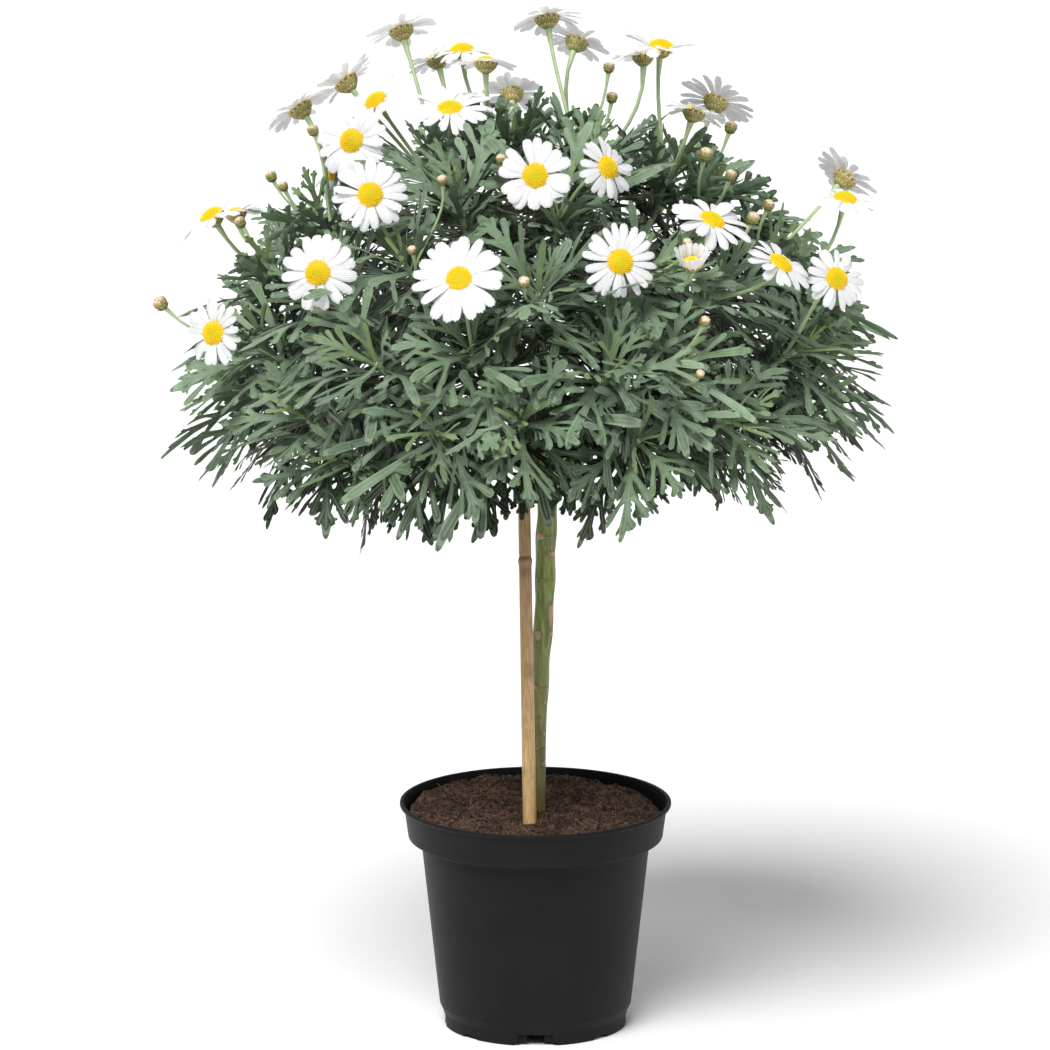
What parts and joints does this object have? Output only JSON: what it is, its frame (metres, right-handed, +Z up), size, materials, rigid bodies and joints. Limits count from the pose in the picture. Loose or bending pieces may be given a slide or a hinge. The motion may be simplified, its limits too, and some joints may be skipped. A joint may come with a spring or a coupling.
{
  "type": "potted standard marguerite daisy",
  "caption": "Marguerite daisy trained as a small standard: a bare stem on a cane in a round nursery pot, with a domed crown of lobed leaves and white daisy blooms.",
  "frame": {"origin": "on the ground under the middle of the pot", "axes": "+Z up along the stem, -Y towards the side that the picture shows, +X to the right in it"},
  "size_m": [0.5158, 0.4856, 0.7127],
  "materials": {
    "pot_plastic": "satin moulded",
    "potting_compost": "crumbly peat",
    "bamboo": "bare bamboo",
    "green_bark": "young green bark",
    "plant_tie": "woven tape",
    "leaves_and_stalks": "matt grey-green leaf",
    "blooms": "white petals round a yellow disc"
  },
  "bodies": {
    "root": {"pot": "pot_plastic", "soil": "potting_compost", "cane": "bamboo", "trunk": "green_bark", "tie": "plant_tie", "leafy_branch_01": "leaves_and_stalks", "leafy_branch_02": "leaves_and_stalks", "leafy_branch_03": "leaves_and_stalks", "leafy_branch_04": "leaves_and_stalks", "leafy_branch_05": "leaves_and_stalks", "leafy_branch_06": "leaves_and_stalks", "leafy_branch_07": "leaves_and_stalks", "leafy_branch_08": "leaves_and_stalks", "leafy_branch_09": "leaves_and_stalks", "leafy_branch_10": "leaves_and_stalks", "leafy_branch_11": "leaves_and_stalks", "leafy_branch_12": "leaves_and_stalks", "leafy_branch_13": "leaves_and_stalks", "leafy_branch_14": "leaves_and_stalks", "leafy_branch_15": "leaves_and_stalks", "leafy_branch_16": "leaves_and_stalks", "bloom_01": "blooms", "bloom_02": "blooms", "bloom_03": "blooms", "bloom_04": "blooms", "bloom_05": "blooms", "bloom_06": "blooms", "bloom_07": "blooms", "bloom_08": "blooms", "bloom_09": "blooms", "bloom_10": "blooms", "bloom_11": "blooms", "bloom_12": "blooms", "bloom_13": "blooms", "bloom_14": "blooms", "bloom_15": "blooms", "bloom_16": "blooms", "bloom_17": "blooms", "bloom_18": "blooms", "bloom_19": "blooms", "bloom_20": "blooms", "bloom_21": "blooms", "bloom_22": "blooms", "bloom_23": "blooms", "bloom_24": "blooms", "bloom_25": "blooms", "bloom_26": "blooms", "bloom_27": "blooms", "bloom_28": "blooms", "bloom_29": "blooms", "bloom_30": "blooms", "bloom_31": "blooms", "bloom_32": "blooms", "bloom_33": "blooms", "bloom_34": "blooms", "bloom_35": "blooms", "bloom_36": "blooms", "bloom_37": "blooms", "bloom_38": "blooms", "bloom_39": "blooms"}
  },
  "joints": []
}
